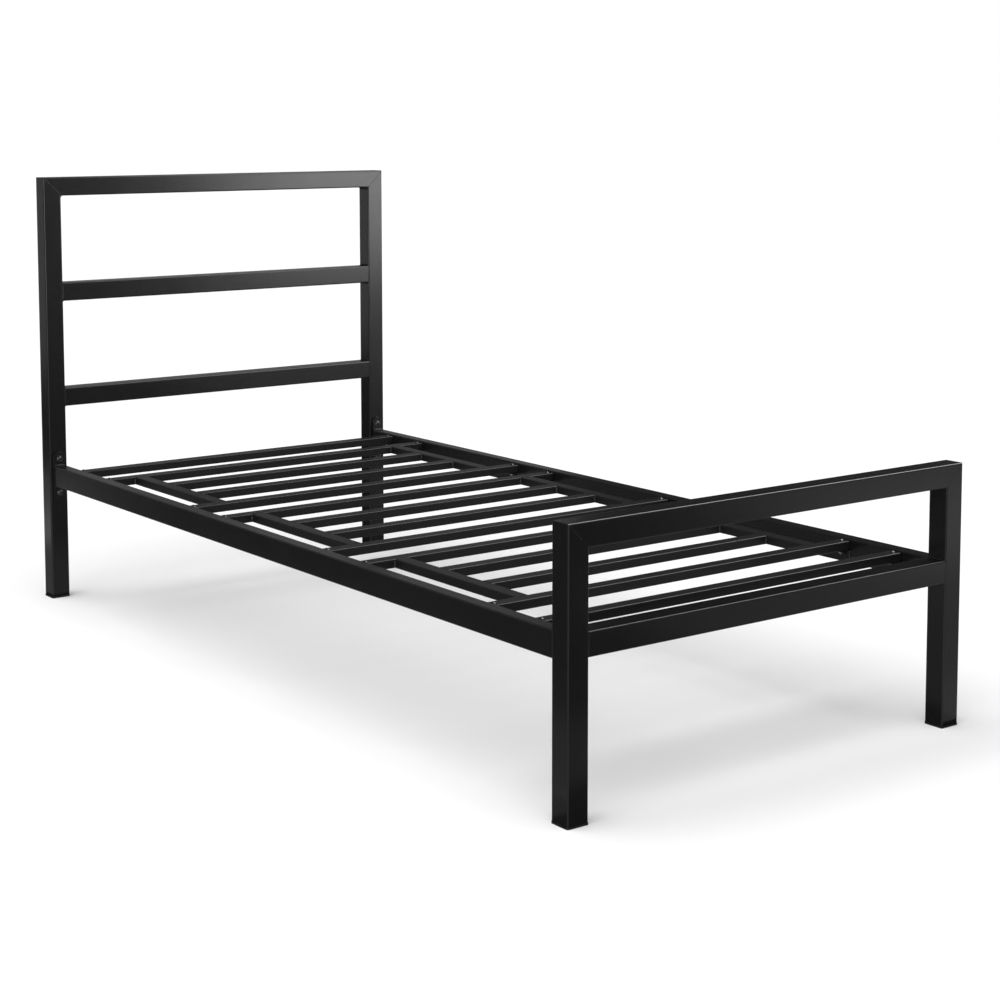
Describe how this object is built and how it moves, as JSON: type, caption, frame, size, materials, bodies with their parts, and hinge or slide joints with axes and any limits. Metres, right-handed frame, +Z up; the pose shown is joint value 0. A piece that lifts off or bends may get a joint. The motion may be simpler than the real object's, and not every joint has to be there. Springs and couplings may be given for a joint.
{
  "type": "metal single bed frame",
  "caption": "Single bed frame of welded square steel tube: tall railed headboard, low footboard, bolted side rails with round-ended plates, and tubular cross slats.",
  "frame": {"origin": "on the floor, at the centre of the bed's outline", "axes": "+Z up, +X across the bed, +Y along the bed towards the headboard"},
  "size_m": [0.9816, 2.0916, 1.04],
  "materials": {
    "frame_paint": "satin black powder coat",
    "rail_paint": "satin black powder coat",
    "slat_paint": "satin black powder coat",
    "bolt_black": "black oxide steel, semi-gloss",
    "zinc_steel": "bright zinc plate",
    "cap_plastic": "matt black moulded plastic"
  },
  "bodies": {
    "root": {"headboard_post_left": "frame_paint", "headboard_post_right": "frame_paint", "headboard_top_rail": "frame_paint", "headboard_upper_middle_rail": "frame_paint", "headboard_lower_middle_rail": "frame_paint", "footboard_post_left": "frame_paint", "footboard_post_right": "frame_paint", "footboard_top_rail": "frame_paint", "footboard_lower_rail": "frame_paint", "side_rail_left": "rail_paint", "side_rail_right": "rail_paint", "end_plate_head_left": "rail_paint", "end_plate_head_right": "rail_paint", "end_plate_foot_left": "rail_paint", "end_plate_foot_right": "rail_paint", "rail_bolts": "bolt_black", "post_weld_nuts": "zinc_steel", "slat_brackets_left": "rail_paint", "slat_brackets_right": "rail_paint", "slat_screws_left": "bolt_black", "slat_screws_right": "bolt_black", "slat_nuts_left": "zinc_steel", "slat_nuts_right": "zinc_steel", "foot_cap_head_left": "cap_plastic", "foot_cap_head_right": "cap_plastic", "foot_cap_foot_left": "cap_plastic", "foot_cap_foot_right": "cap_plastic", "slat_1": "slat_paint", "slat_2": "slat_paint", "slat_3": "slat_paint", "slat_4": "slat_paint", "slat_5": "slat_paint", "slat_6": "slat_paint", "slat_7": "slat_paint", "slat_8": "slat_paint", "slat_9": "slat_paint", "slat_10": "slat_paint", "slat_11": "slat_paint", "slat_12": "slat_paint", "slat_13": "slat_paint", "slat_14": "slat_paint", "slat_bar_1_left": "slat_paint", "slat_bar_1_right": "slat_paint", "slat_bar_2_left": "slat_paint", "slat_bar_2_right": "slat_paint", "slat_bar_3_left": "slat_paint", "slat_bar_3_right": "slat_paint"}
  },
  "joints": []
}
